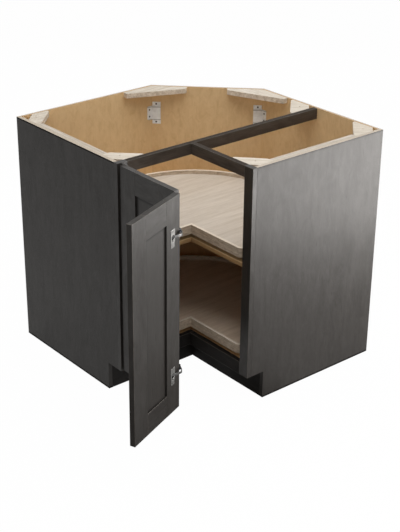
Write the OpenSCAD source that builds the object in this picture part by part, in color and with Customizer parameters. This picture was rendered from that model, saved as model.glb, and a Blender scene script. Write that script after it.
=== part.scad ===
// Corner carousel cabinet: L-shaped base unit, two pie-cut turntables, folding pair of doors.
// Room frame: Z up, origin in the room corner on the floor, X and Y along the two walls.

/* [Cabinet] */
// Length along each wall
cabinet_w = 914; // [800:1:1000]
// Height of the carcass
cabinet_h = 876; // [760:1:920]
// Depth of each wing, wall to front of the face frame
wing_d = 605; // [540:1:640]
// Length cut off each wall line at the clipped back corner
corner_cut = 308; // [220:1:380]
// Thickness of the end panels
end_t = 15; // [12:0.5:19]
// Thickness of the back panels
back_t = 12; // [9:0.5:16]
// Depth of the grooves that take the floor and the shelf
dado_d = 5; // [2:0.5:6]
// Thickness of the cabinet floor
floor_t = 16; // [12:0.5:19]
// Thickness of the fixed shelf
shelf_t = 17; // [12:0.5:22]
// Height of the top of the fixed shelf
shelf_z = 519; // [400:1:600]

/* [Face frame] */
// Thickness of the frame members
frame_t = 19; // [16:0.5:22]
// Width of the stiles
stile_w = 41; // [30:1:60]
// Height of the top rails
top_rail_h = 40; // [30:1:60]
// Height of the bottom rails
bottom_rail_h = 48; // [30:1:70]
// Height of the toe space
toe_h = 105; // [80:1:130]
// Set-back of the toe boards from the frame front
toe_d = 75; // [50:1:90]
// Thickness of the toe boards
toe_t = 12; // [9:0.5:19]

/* [Top blocks and cleats] */
// Thickness of the corner blocks and cleats
block_t = 19; // [12:0.5:25]
// Leg of the back corner blocks
back_leg = 108; // [80:1:130]
// Blunt tip of the back corner blocks
back_tip = 11; // [5:1:20]
// Leg of the front corner blocks along the rail
rail_leg = 107; // [80:1:130]
// Leg of the front corner blocks along the end panel
side_leg = 82; // [60:1:110]
// Blunt tip of the front corner blocks on the rail
rail_tip = 6; // [3:1:20]
// Blunt tip of the front corner blocks on the end panel
side_tip = 27; // [21:1:40]
// Cut across the outer corner of the blocks
block_clip = 24; // [5:1:40]
// Cut across the outer corner of the block at the back left
back_clip = 44; // [5:1:60]
// Leg of the wide blocks at the clipped corner, where there is room for it
wide_leg = 135; // [90:1:150]
// Least gap between two blocks on one wall
block_gap = 20; // [5:1:60]
// Blunt tip of the wide blocks
wide_tip = 21; // [8:1:30]
// Width of the top cleats
cleat_w = 20; // [12:1:30]
// Radius of the worktop screw holes in the blocks
worktop_hole_r = 2.5; // [1.5:0.1:4]
// Distance of a worktop screw hole from both sides of its block
hole_inset = 36; // [30:1:44]
// Distance of a worktop screw hole from the bend of a wide block
wide_hole = 44; // [25:1:60]

/* [Brackets and screws] */
// Sheet thickness of the corner brackets
bracket_t = 2; // [1:0.5:3]
// Width of the bracket leaf on the slanted panel
bracket_w = 34; // [24:1:50]
// Width of the bracket leaf on the wall panel
flange_w = 23; // [16:1:40]
// Height of the bracket's raised leaf
bracket_h = 55; // [40:1:70]
// Height over the bracket tabs
tab_h = 88; // [80:1:110]
// How far the raised leaf stands off the slanted panel
bracket_rise = 3; // [1:0.5:5]
// Rounding of the wall leaf's free corners
leaf_r = 6; // [2:0.5:8]
// Distance of the middle of the brackets below the top
bracket_drop = 107; // [60:1:200]
// Radius of a screw shank
screw_r = 1.75; // [1:0.05:2.5]
// Radius of a screw head
head_r = 3.5; // [2.5:0.1:5]
// Height of a screw head
head_h = 1.6; // [1:0.1:2.5]
// Length of a screw shank in the carcass and trays
screw_len = 11; // [6:0.5:11.5]
// Clearance round a screw shank
screw_gap = 0.05; // [0.02:0.01:0.1]

/* [Turntables] */
// Radius of the trays, made smaller where the cabinet has no room for it
tray_r = 381; // [300:1:460]
// Distance of the turning axis behind both frame fronts
tray_back = 120; // [80:1:160]
// Least room round a turning tray
tray_gap = 25; // [10:1:40]
// Distance of the tray's pie cut behind the frame front
notch_back = 13; // [10:1:40]
// Corner radius where the pie cut meets the circle
tray_corner_r = 25; // [12:1:40]
// Thickness of the rim
rim_t = 10; // [5:0.5:14]
// Height of the rim
rim_h = 36; // [24:1:60]
// Rim height above the tray floor
lip_h = 15; // [8:1:30]
// Thickness of the tray floor
tray_floor_t = 18; // [12:0.5:20]
// Height of a bearing
bearing_h = 18; // [17:0.5:24]
// Radius of the bearing plates
plate_r = 75; // [60:1:110]
// Thickness of the bearing plates
plate_t = 2.5; // [1.5:0.1:4]
// Radius of the ring of balls
race_r = 46; // [34:1:52]
// Radius of a ball
ball_r = 3; // [2:0.1:4]
// Number of balls in a bearing
ball_n = 12; // [8:1:16]
// Radius of the centre stud
stud_r = 8; // [5:0.5:12]
// Radial clearance of the hub on the stud
stud_gap = 0.05; // [0.02:0.01:0.1]
// Radius of the circle of bearing screws
screw_circle = 64; // [58:1:70]

/* [Doors] */
// Thickness of a door
door_t = 19; // [16:0.5:22]
// Gap from the frame front to a closed door
door_gap = 3; // [2.6:0.1:5]
// Stile face left bare beside a closed door
reveal = 6; // [2:0.5:15]
// Distance of a closed door's edge past the other door's front
fold_gap = 2; // [1:0.1:4]
// Width of the door stiles and rails
member_w = 79; // [56:1:95]
// Depth of the recess on the front
front_recess = 6; // [3:0.5:8]
// Depth of the recess on the back
back_recess = 6; // [3:0.5:8]
// Depth of the panel groove
groove_d = 8; // [5:1:12]
// Opening of door 1 in the photographed pose
open_1 = 90; // [0:1:105]
// Fold of door 2 in the photographed pose
fold_2 = 21.5; // [0:0.5:26]

/* [Hinges] */
// Distance of the hinge middles from the door's ends
hinge_end = 135; // [80:1:200]
// Distance of the stile hinge pin from the door's edge
pin_edge = 8; // [7:0.1:8.2]
// Depth of the stile hinge pin behind the door's back face
pin_deep = 11; // [10.6:0.1:11.6]
// Radius of the stile hinge pin
pin_r = 1.2; // [0.8:0.1:1.4]
// Radius of the stile hinge knuckle
knuckle_r = 2.6; // [2.2:0.1:2.8]
// Half width of the stile hinge knuckle
knuckle_w = 4; // [3:0.5:4.5]
// Thickness of the stile hinge arm
arm_t = 1.4; // [1:0.1:1.6]
// Half height of the arm's plate on the stile
arm_h = 13; // [9:0.5:20]
// Reach of the arm inside the cup
arm_reach = 20; // [17:0.5:21]
// Radius of a hinge cup
cup_r = 17.5; // [16:0.5:18]
// Wall of a hinge cup
cup_wall = 1; // [0.6:0.1:1.2]
// Depth of the stile hinge cups
cup_d = 15.5; // [15.2:0.1:16]
// Wood left between a stile hinge cup and the door's edge
cup_edge = 2; // [1.5:0.1:3]
// Clearance round a cup in its pocket
cup_gap = 0.05; // [0.02:0.01:0.1]
// Thickness of a cup's flange
flange_t = 1; // [0.6:0.1:1.2]
// Half height of a cup's flange
flange_h = 31; // [27:0.5:36]
// Running clearance of the hinge pins
pin_gap = 0.05; // [0.02:0.01:0.1]
// Length of a hinge screw's shank
hinge_screw = 9; // [6:0.5:11]
// Height of a hinge screw's head
hinge_head = 0.8; // [0.5:0.1:1]

/* [Fold hinges] */
// Distance of the fold pin inside both doors' front planes
fold_pin_in = 5; // [4.5:0.1:6]
// Radius of the fold pin
fold_pin_r = 2; // [1.5:0.1:2.4]
// Radius of the fold knuckles
fold_knuckle_r = 4.3; // [3.4:0.1:4.6]
// Half width of the middle knuckle
fold_mid = 5; // [4:0.5:6]
// Half height over all knuckles
fold_half = 10; // [8:0.5:10]
// Gap between knuckles
fold_side_gap = 0.4; // [0.3:0.1:1]
// Thickness of the fold straps
strap_t = 2.5; // [2:0.1:3]
// Height of the arm's bridge behind door 1
bridge_h = 10; // [6:0.5:11]
// Reach of the arm's plate from door 1's edge
bridge_reach = 40; // [30:1:60]
// Distance of the fold cup's middle from door 2's edge
fold_cup_in = 43; // [36:0.5:48]
// Radius of the fold cups
fold_cup_r = 12; // [12:0.5:13]
// Depth of the fold cups
fold_cup_d = 12; // [10:0.5:13]
// Height of the fold cup's flange over the door
fold_flange_t = 1.6; // [1:0.1:2.4]

/* [Hidden] */
$fn = 96;

rear = wing_d - frame_t;              // back face of the face frame
in_x = cabinet_w - end_t;             // inner face of the end panels
edge_x = cabinet_w - stile_w;         // inner edge of the stiles
base_z = toe_h + bottom_rail_h;       // top of the cabinet floor
toe_y = wing_d - toe_d;               // front of the toe boards
block_z = cabinet_h - block_t;
bend = [corner_cut + back_t * tan(22.5), back_t];   // inner corner where the clip starts
along = [-cos(45), sin(45)];
away = [cos(45), sin(45)];

tray_c = wing_d - tray_back;          // turning axis, from both walls
turn_r = min(tray_r, norm([edge_x - tray_c, tray_back]) - tray_gap,
             in_x - tray_c - tray_gap, tray_c - back_t - tray_gap,
             (2 * tray_c - bend[0] - bend[1]) / sqrt(2) - tray_gap);
wide_run = min(wide_leg, rear - back_leg - bend[0] - block_gap);
bracket_z = cabinet_h - bracket_drop;

door_in = wing_d + door_gap;          // back plane of the closed doors
door_out = door_in + door_t;
door_z = toe_h + reveal;
door_h = cabinet_h - 2 * reveal - toe_h;
door_x0 = door_out + fold_gap;        // fold edge of closed door 1
door_x1 = cabinet_w - reveal;         // hinge edge of closed door 1
door_w = door_x1 - door_x0;
pin = [door_x1 - pin_edge, door_in + pin_deep];     // stile hinge axis
fold_pin = [door_out - fold_pin_in, door_out - fold_pin_in];
cup_x = door_x1 - cup_edge - cup_r;
fold_cup_y = door_x0 + fold_cup_in;
hinge_zs = [door_z + hinge_end, door_z + door_h - hinge_end];
panel_y0 = door_in + back_recess;
panel_y1 = door_out - front_recess;

notch = wing_d - notch_back;          // plane of the trays' pie cut
upper_z = shelf_z;                    // seats of the two bearings
lower_z = base_z;
tray_dz = bearing_h;                  // tray floor's underside above its seat
rim_dz = tray_dz + tray_floor_t + lip_h - rim_h;
race_z = bearing_h / 2;

espresso = [0.24, 0.23, 0.22];
inside_wood = [0.65, 0.52, 0.38];
pale_wood = [0.80, 0.76, 0.70];
tray_wood = [0.76, 0.70, 0.62];
steel = [0.66, 0.65, 0.63];
nickel = [0.80, 0.80, 0.78];

// ---- shared shapes ----

module swap() { mirror([1, -1, 0]) children(); }

module slab(points, z, h) { translate([0, 0, z]) linear_extrude(height = h) polygon(points); }

module box(x0, x1, y0, y1, z0, z1) {
  translate([x0, y0, z0]) cube([x1 - x0, y1 - y0, z1 - z0]);
}

// screw with its head's underside at the origin and its shank down Z
module screw(len, hr = head_r, hh = head_h) {
  translate([0, 0, -len]) cylinder(r = screw_r, h = len + hh / 2);
  cylinder(r = hr, h = hh);
}

module screw_hole(len) {
  translate([0, 0, -len - 0.3]) cylinder(r = screw_r + screw_gap, h = len + 1);
}

// outline of the space inside the carcass, g past the inner faces of its panels
function deck_points(g) =
  let (b = back_t - g, e = in_x + g, s = corner_cut + back_t * sqrt(2) - g * sqrt(2))
  [[s - b, b], [e, b], [e, rear], [rear, rear], [rear, e], [b, e], [b, s - b]];

module deck(z, t) { slab(deck_points(dado_d), z - t, t); }

module decks() { deck(base_z, floor_t); deck(shelf_z, shelf_t); }

// ---- carcass ----

module end_panel() {
  difference() {
    box(in_x, cabinet_w, 0, rear, 0, cabinet_h);
    box(in_x - 1, cabinet_w + 1, toe_y, rear + 1, -1, toe_h);
    decks();
  }
}

module back_panel() {
  difference() {
    slab([[corner_cut, 0], [in_x, 0], [in_x, back_t], bend], 0, cabinet_h);
    decks();
    wall_screw_places() screw_hole(screw_len);
  }
}

module left_end_panel() { color(espresso) end_panel(); }
module right_end_panel() { color(espresso) swap() end_panel(); }
module back_left_panel() { color(inside_wood) back_panel(); }
module back_right_panel() { color(inside_wood) swap() back_panel(); }

module corner_back_panel() {
  color(inside_wood) difference() {
    slab([[corner_cut, 0], bend, [bend[1], bend[0]], [0, corner_cut]], 0, cabinet_h);
    decks();
    clip_screw_places() screw_hole(screw_len);
    swap() clip_screw_places() screw_hole(screw_len);
  }
}

module cabinet_floor() {
  color(inside_wood) difference() {
    deck(base_z, floor_t);
    bearing_screw_places(lower_z) screw_hole(screw_len);
  }
}

module fixed_shelf() {
  color(inside_wood) difference() {
    deck(shelf_z, shelf_t);
    bearing_screw_places(upper_z) screw_hole(screw_len);
  }
}

module top_cleat() {
  box(in_x - cleat_w, in_x, back_t + back_leg, rear - side_leg, block_z, cabinet_h);
}

module left_top_cleat() { color(pale_wood) top_cleat(); }
module right_top_cleat() { color(pale_wood) swap() top_cleat(); }

// block in a square corner: a along X, b along Y, blunt tips, clipped outer corner, worktop hole
module square_block(a, b, a_tip, b_tip, clip) {
  difference() {
    slab([[clip, 0], [a, 0], [a, a_tip], [b_tip, b], [0, b], [0, clip]], block_z, block_t);
    translate([hole_inset, hole_inset, block_z - 1])
      cylinder(r = worktop_hole_r, h = block_t + 2);
  }
}

module back_block(clip) { square_block(back_leg, back_leg, back_tip, back_tip, clip); }
module front_block() { square_block(rail_leg, side_leg, rail_tip, side_tip, block_clip); }

module back_left_block() {
  color(pale_wood) translate([in_x, back_t, 0]) mirror([1, 0, 0]) back_block(back_clip);
}
module back_right_block() {
  color(pale_wood) translate([back_t, in_x, 0]) mirror([0, 1, 0]) back_block(block_clip);
}
module rail_end_block() {
  color(pale_wood) translate([back_t, rear, 0]) mirror([0, 1, 0]) back_block(block_clip);
}
module front_left_block() {
  color(pale_wood) translate([in_x, rear, 0]) mirror([1, 0, 0]) mirror([0, 1, 0]) front_block();
}
module front_right_block() {
  color(pale_wood) swap()
    translate([in_x, rear, 0]) mirror([1, 0, 0]) mirror([0, 1, 0]) front_block();
}

module wide_block() {
  hole = bend + wide_hole * [cos(67.5), sin(67.5)];
  difference() {
    slab([bend, bend + [wide_run, 0], bend + [wide_run, wide_tip],
          bend + wide_run * along + wide_tip * away, bend + wide_run * along], block_z, block_t);
    translate([hole[0], hole[1], block_z - 1]) cylinder(r = worktop_hole_r, h = block_t + 2);
  }
}

module left_wide_block() { color(pale_wood) wide_block(); }
module right_wide_block() { color(pale_wood) swap() wide_block(); }

// ---- face frame ----

module stile() {
  difference() {
    box(edge_x, cabinet_w, rear, wing_d, toe_h, cabinet_h);
    arm_screw_places() screw_hole(screw_len);
  }
}

module left_stile() { color(espresso) stile(); }
module right_stile() {
  color(espresso) swap() box(edge_x, cabinet_w, rear, wing_d, toe_h, cabinet_h);
}
module long_top_rail() {
  color(espresso) box(back_t, edge_x, rear, wing_d, cabinet_h - top_rail_h, cabinet_h);
}
module right_top_rail() {
  color(espresso) box(rear, wing_d, wing_d, edge_x, cabinet_h - top_rail_h, cabinet_h);
}
module left_bottom_rail() { color(espresso) box(rear, edge_x, rear, wing_d, toe_h, base_z); }
module right_bottom_rail() { color(espresso) box(rear, wing_d, wing_d, edge_x, toe_h, base_z); }
module left_toe_board() {
  color(espresso) box(toe_y - toe_t, in_x, toe_y - toe_t, toe_y, 0, base_z - floor_t);
}
module right_toe_board() {
  color(espresso) box(toe_y - toe_t, toe_y, toe_y, in_x, 0, base_z - floor_t);
}

// ---- brackets at the clipped corner ----

module bracket() {
  out = bracket_rise + bracket_t;
  foot = bend + [bracket_rise / cos(45), 0];
  fold = bend + [out / cos(45) - bracket_t, bracket_t];
  leaf_end = bend + bracket_w * along;
  tab_start = bend + bracket_t * along;
  difference() {
    union() {
      slab([foot, bend + [flange_w, 0], bend + [flange_w, bracket_t], fold,
            leaf_end + out * away, leaf_end + bracket_rise * away],
           bracket_z - bracket_h / 2, bracket_h);
      for (m = [0, 1]) translate([0, 0, bracket_z]) mirror([0, 0, m]) {
        slab([bend, foot, fold, leaf_end + out * away, leaf_end],
             bracket_h / 2 - bracket_t, bracket_t);
        slab([tab_start, tab_start + bracket_t * away, leaf_end + bracket_t * away, leaf_end],
             bracket_h / 2 - bracket_t, tab_h / 2 - bracket_h / 2 + bracket_t);
      }
    }
    for (m = [0, 1]) translate([0, 0, bracket_z]) mirror([0, 0, m])
      translate([bend[0] + flange_w - leaf_r, back_t, bracket_h / 2 - leaf_r]) difference() {
        translate([0, -1, 0]) cube([leaf_r + 1, bracket_t + 2, leaf_r + 1]);
        translate([0, -2, 0]) rotate([-90, 0, 0]) cylinder(r = leaf_r, h = bracket_t + 4);
      }
    wall_screw_places() screw_hole(screw_len);
    clip_screw_places() screw_hole(screw_len);
  }
}

module wall_screw_places() {
  for (s = [-1, 1])
    translate([bend[0] + flange_w * 0.58, back_t + bracket_t, bracket_z + s * bracket_h / 4])
      rotate([-90, 0, 0]) children();
}

module clip_screw_places() {
  p = bend + bracket_w / 2 * along + bracket_t * away;
  for (s = [-1, 1])
    translate([p[0], p[1], bracket_z + s * (tab_h / 2 - 8)])
      rotate([0, 0, 45]) rotate([0, 90, 0]) children();
}

module left_bracket() { color(steel) bracket(); }
module right_bracket() { color(steel) swap() bracket(); }

module bracket_screws() {
  color(steel) {
    wall_screw_places() screw(screw_len);
    clip_screw_places() screw(screw_len);
    swap() wall_screw_places() screw(screw_len);
    swap() clip_screw_places() screw(screw_len);
  }
}

// ---- stile hinges ----

module arm_screw_places() {
  for (z = hinge_zs, s = [-1, 1])
    translate([edge_x - arm_t, rear + frame_t / 2, z + s * (arm_h - 5.5)])
      rotate([0, -90, 0]) children();
}

module hinge_arm(z) {
  leg_x = pin[0] - arm_reach;
  difference() {
    union() {
      translate([pin[0], pin[1], z - knuckle_w]) cylinder(r = knuckle_r, h = 2 * knuckle_w);
      box(leg_x, pin[0], pin[1] - arm_t / 2, pin[1] + arm_t / 2, z - knuckle_w, z + knuckle_w);
      box(leg_x, leg_x + arm_t, wing_d, pin[1] + arm_t / 2, z - knuckle_w, z + knuckle_w);
      box(edge_x - arm_t, leg_x + arm_t, wing_d, wing_d + arm_t, z - arm_h, z + arm_h);
      box(edge_x - arm_t, edge_x, rear + 2, wing_d + arm_t, z - arm_h, z + arm_h);
    }
    translate([pin[0], pin[1], z - knuckle_w - 1])
      cylinder(r = pin_r + pin_gap, h = 2 * knuckle_w + 2);
    arm_screw_places() screw_hole(screw_len);
  }
}

module upper_hinge_arm() { color(nickel) hinge_arm(hinge_zs[1]); }
module lower_hinge_arm() { color(nickel) hinge_arm(hinge_zs[0]); }
module hinge_arm_screws() { color(nickel) arm_screw_places() screw(screw_len); }

// ---- turntables ----

module bearing_screw_places(z) {
  for (a = [45 : 90 : 315])
    translate([tray_c, tray_c, z + plate_t]) rotate([0, 0, a]) translate([screw_circle, 0, 0])
      children();
}

module tray_screw_places(z) {
  for (a = [0 : 90 : 270])
    translate([tray_c, tray_c, z + bearing_h - plate_t]) rotate([0, 0, a])
      translate([screw_circle, 0, 0]) mirror([0, 0, 1]) children();
}

module ball_places(z) {
  for (i = [0 : ball_n - 1])
    translate([tray_c, tray_c, z + race_z]) rotate([0, 0, i * 360 / ball_n])
      translate([race_r, 0, 0]) children();
}

// base plate with its race, the balls run on the race's floor between two walls
module bearing_base(z) {
  wall = ball_r + 0.5;
  difference() {
    translate([tray_c, tray_c, z]) {
      cylinder(r = plate_r, h = plate_t);
      cylinder(r = stud_r, h = bearing_h - plate_t);
      difference() {
        cylinder(r = race_r + wall + 3, h = race_z - 0.6);
        translate([0, 0, -1]) cylinder(r = race_r - wall - 3, h = race_z + 2);
      }
    }
    translate([tray_c, tray_c, z + race_z - ball_r]) difference() {
      cylinder(r = race_r + wall, h = ball_r * 2);
      translate([0, 0, -1]) cylinder(r = race_r - wall, h = ball_r * 2 + 2);
    }
    bearing_screw_places(z) screw_hole(screw_len);
  }
}

module bearing_top(z) {
  wall = ball_r + 0.5;
  difference() {
    translate([tray_c, tray_c, 0]) {
      translate([0, 0, z + bearing_h - plate_t]) cylinder(r = plate_r, h = plate_t);
      translate([0, 0, z + race_z - 2]) cylinder(r = stud_r + 6, h = bearing_h - race_z + 2 - plate_t);
      translate([0, 0, z + race_z + 0.6]) difference() {
        cylinder(r = race_r + wall + 3, h = bearing_h - plate_t - race_z - 0.6);
        translate([0, 0, -1]) cylinder(r = race_r - wall - 3, h = bearing_h);
      }
    }
    translate([tray_c, tray_c, z + race_z - ball_r]) difference() {
      cylinder(r = race_r + wall, h = ball_r * 2 + 0.05);
      translate([0, 0, -1]) cylinder(r = race_r - wall, h = ball_r * 2 + 2);
    }
    translate([tray_c, tray_c, z]) cylinder(r = stud_r + stud_gap, h = bearing_h + 1);
    tray_screw_places(z) screw_hole(screw_len);
  }
}

// centre of the rounding where the pie cut meets the circle
function corner_c() =
  let (x = notch - tray_corner_r, r = turn_r - tray_corner_r)
  [x, tray_c + sqrt(r * r - (x - tray_c) * (x - tray_c))];

module tray_outline(g) {
  c = corner_c();
  d = (c - [tray_c, tray_c]) / norm(c - [tray_c, tray_c]);
  far = tray_corner_r * 2;
  difference() {
    translate([tray_c, tray_c]) circle(r = turn_r - g, $fn = 240);
    translate([notch - g, notch - g]) square(turn_r);
    for (m = [0, 1]) flip(m) difference() {
      polygon([c, c + [far, 0], c + [far, far], c + far * d]);
      translate(c) circle(r = tray_corner_r - g);
    }
  }
}

module flip(m) { if (m == 1) mirror([1, -1]) children(); else children(); }

module tray_floor(z) {
  difference() {
    translate([0, 0, z + tray_dz]) linear_extrude(height = tray_floor_t) tray_outline(rim_t);
    tray_screw_places(z) screw_hole(screw_len);
  }
}

module tray_rim(z) {
  translate([0, 0, z + rim_dz]) difference() {
    linear_extrude(height = rim_h) tray_outline(0);
    translate([0, 0, -1]) linear_extrude(height = rim_h + 2) tray_outline(rim_t);
  }
}

module upper_bearing_base() { color(steel) bearing_base(upper_z); }
module lower_bearing_base() { color(steel) bearing_base(lower_z); }
module bearing_base_screws() {
  color(steel) for (z = [upper_z, lower_z]) bearing_screw_places(z) screw(screw_len);
}
module bearing_balls() {
  color(steel) for (z = [upper_z, lower_z]) ball_places(z) sphere(r = ball_r, $fn = 24);
}
module upper_tray_floor() { color(tray_wood) tray_floor(upper_z); }
module upper_tray_rim() { color(tray_wood) tray_rim(upper_z); }
module upper_bearing_top() { color(steel) bearing_top(upper_z); }
module upper_tray_screws() { color(steel) tray_screw_places(upper_z) screw(screw_len); }
module lower_tray_floor() { color(tray_wood) tray_floor(lower_z); }
module lower_tray_rim() { color(tray_wood) tray_rim(lower_z); }
module lower_bearing_top() { color(steel) bearing_top(lower_z); }
module lower_tray_screws() { color(steel) tray_screw_places(lower_z) screw(screw_len); }

// ---- doors, drawn closed and turned to the photographed pose ----

module posed_1() {
  translate([pin[0], pin[1], 0]) rotate([0, 0, -open_1]) translate([-pin[0], -pin[1], 0])
    children();
}

module posed_2() {
  posed_1() translate([fold_pin[0], fold_pin[1], 0]) rotate([0, 0, fold_2])
    translate([-fold_pin[0], -fold_pin[1], 0]) children();
}

// groove of the panel: everything the panel and the rails' tongues fill
module panel_space(p0, p1) {
  box(p0 + member_w - groove_d, p1 - member_w + groove_d, panel_y0, panel_y1,
      door_z + member_w - groove_d, door_z + door_h - member_w + groove_d);
}

// space of the rails' tongues inside the stiles
module tongue(p0, p1, z0, z1) {
  box(p0 + member_w - groove_d, p1 - member_w + groove_d, panel_y0, panel_y1, z0, z1);
}

module door_stile(p0, w0) {
  difference() {
    box(w0, w0 + member_w, door_in, door_out, door_z, door_z + door_h);
    tongue(p0, p0 + door_w, door_z, door_z + door_h);
  }
}

module door_rail(p0, z) {
  difference() {
    union() {
      box(p0 + member_w, p0 + door_w - member_w, door_in, door_out, z, z + member_w);
      tongue(p0, p0 + door_w, z, z + member_w);
    }
    panel_space(p0, p0 + door_w);
  }
}

module door_panel(p0) { panel_space(p0, p0 + door_w); }

// ---- door 1 ----

module hinge_cup_pocket() {
  for (z = hinge_zs)
    translate([cup_x, door_in - 1, z]) rotate([-90, 0, 0])
      cylinder(r = cup_r + cup_gap, h = cup_d + 1);
}

module hinge_cup_screw_places() {
  for (z = hinge_zs, s = [-1, 1])
    translate([cup_x - 9.5, door_in - flange_t, z + s * (flange_h - 6)])
      rotate([90, 0, 0]) children();
}

module fold_arm_screw_places() {
  for (z = hinge_zs, s = [-1, 1])
    translate([door_x0 + bridge_reach - 8, door_in - strap_t, z + s * (fold_half + 4)])
      rotate([90, 0, 0]) children();
}

module hinge_cup(z) {
  difference() {
    union() {
      translate([cup_x, door_in - flange_t, z]) rotate([-90, 0, 0])
        cylinder(r = cup_r, h = cup_d + flange_t);
      box(cup_x - 17, cup_x + 2, door_in - flange_t, door_in, z - flange_h, z + flange_h);
    }
    translate([cup_x, door_in - flange_t - 1, z]) rotate([-90, 0, 0])
      cylinder(r = cup_r - cup_wall, h = cup_d + flange_t - cup_wall + 1);
    hinge_cup_screw_places() screw_hole(hinge_screw);
  }
  reach = sqrt(pow(cup_r - cup_wall / 2, 2) - pow(pin[0] - cup_x, 2));
  translate([pin[0], pin[1], z - reach]) cylinder(r = pin_r, h = 2 * reach);
}

// arm from door 1's back over the corner to the middle knuckle
module fold_arm(z) {
  x = fold_pin[0];
  difference() {
    union() {
      box(door_x0 + 8, door_x0 + bridge_reach, door_in - strap_t, door_in,
          z - fold_half - 9, z + fold_half + 9);
      box(door_x0 + 8, door_x0 + bridge_reach - 15, door_in - bridge_h, door_in,
          z - fold_mid, z + fold_mid);
      box(x - 6, door_x0 + 10, door_in - bridge_h, door_in - bridge_h + strap_t,
          z - fold_mid, z + fold_mid);
      box(x - 6, x - 6 + strap_t, door_in - bridge_h, x, z - fold_mid, z + fold_mid);
      box(x - 6, x, x - strap_t / 2, x + strap_t / 2, z - fold_mid, z + fold_mid);
      translate([x, x, z - fold_mid]) cylinder(r = fold_knuckle_r, h = 2 * fold_mid);
    }
    translate([x, x, z - fold_mid - 1])
      cylinder(r = fold_pin_r + pin_gap, h = 2 * fold_mid + 2);
    fold_arm_screw_places() screw_hole(hinge_screw);
  }
}

module door_1_cuts() {
  hinge_cup_pocket();
  hinge_cup_screw_places() screw_hole(hinge_screw);
  fold_arm_screw_places() screw_hole(hinge_screw);
}

module door_1_hinge_stile() {
  color(espresso) posed_1() difference() {
    door_stile(door_x0, door_x1 - member_w);
    door_1_cuts();
  }
}
module door_1_fold_stile() {
  color(espresso) posed_1() difference() {
    door_stile(door_x0, door_x0);
    door_1_cuts();
  }
}
module door_1_top_rail() { color(espresso) posed_1() door_rail(door_x0, door_z + door_h - member_w); }
module door_1_bottom_rail() { color(espresso) posed_1() door_rail(door_x0, door_z); }
module door_1_panel() { color(espresso) posed_1() door_panel(door_x0); }
module upper_hinge_cup() { color(nickel) posed_1() hinge_cup(hinge_zs[1]); }
module lower_hinge_cup() { color(nickel) posed_1() hinge_cup(hinge_zs[0]); }
module upper_fold_arm() { color(nickel) posed_1() fold_arm(hinge_zs[1]); }
module lower_fold_arm() { color(nickel) posed_1() fold_arm(hinge_zs[0]); }
module door_1_screws() {
  color(nickel) posed_1() {
    hinge_cup_screw_places() screw(hinge_screw, 3, hinge_head);
    fold_arm_screw_places() screw(hinge_screw, 3, hinge_head);
  }
}

// ---- door 2, its parts written as door 1's mirror image ----

module fold_cup_screw_places() {
  for (z = hinge_zs, s = [-1, 1])
    translate([fold_cup_y, door_in - fold_flange_t, z + s * (flange_h - 6)])
      rotate([90, 0, 0]) children();
}

module fold_cup_pocket() {
  for (z = hinge_zs)
    translate([fold_cup_y, door_in - 1, z]) rotate([-90, 0, 0])
      cylinder(r = fold_cup_r + cup_gap, h = fold_cup_d + 1);
}

// cup in door 2 with its two straps, outer knuckles and the fold pin
module fold_cup(z) {
  x = fold_pin[0];
  side = fold_mid + fold_side_gap;
  difference() {
    union() {
      translate([fold_cup_y, door_in - fold_flange_t, z]) rotate([-90, 0, 0])
        cylinder(r = fold_cup_r, h = fold_cup_d + fold_flange_t);
      box(fold_cup_y - fold_cup_r, fold_cup_y + fold_cup_r, door_in - fold_flange_t, door_in,
          z - flange_h, z + flange_h);
    }
    translate([fold_cup_y, door_in - fold_flange_t - 1, z]) rotate([-90, 0, 0])
      cylinder(r = fold_cup_r - cup_wall, h = fold_cup_d + fold_flange_t - cup_wall + 1);
    fold_cup_screw_places() screw_hole(hinge_screw);
  }
  h = fold_half - side;
  for (z0 = [z - fold_half, z + side]) {
    box(x - 6, fold_cup_y + strap_t / 2, door_in - 5, door_in - 5 + strap_t, z0, z0 + h);
    box(fold_cup_y - strap_t / 2, fold_cup_y + strap_t / 2,
        door_in - 5, door_in + fold_cup_d - cup_wall / 2, z0, z0 + h);
    box(x - 6, x - 6 + strap_t, door_in - 5, x, z0, z0 + h);
    box(x - 6, x, x - strap_t / 2, x + strap_t / 2, z0, z0 + h);
    translate([x, x, z0]) cylinder(r = fold_knuckle_r, h = h);
  }
  translate([x, x, z - fold_half]) cylinder(r = fold_pin_r, h = 2 * fold_half);
}

module door_2_cuts() {
  fold_cup_pocket();
  fold_cup_screw_places() screw_hole(hinge_screw);
}

module door_2_fold_stile() {
  color(espresso) posed_2() swap() difference() {
    door_stile(door_x0, door_x0);
    door_2_cuts();
  }
}
module door_2_free_stile() {
  color(espresso) posed_2() swap() door_stile(door_x0, door_x1 - member_w);
}
module door_2_top_rail() {
  color(espresso) posed_2() swap() door_rail(door_x0, door_z + door_h - member_w);
}
module door_2_bottom_rail() { color(espresso) posed_2() swap() door_rail(door_x0, door_z); }
module door_2_panel() { color(espresso) posed_2() swap() door_panel(door_x0); }
module upper_fold_cup() { color(nickel) posed_2() swap() fold_cup(hinge_zs[1]); }
module lower_fold_cup() { color(nickel) posed_2() swap() fold_cup(hinge_zs[0]); }
module door_2_screws() {
  color(nickel) posed_2() swap() fold_cup_screw_places() screw(hinge_screw, 3, hinge_head);
}

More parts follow.
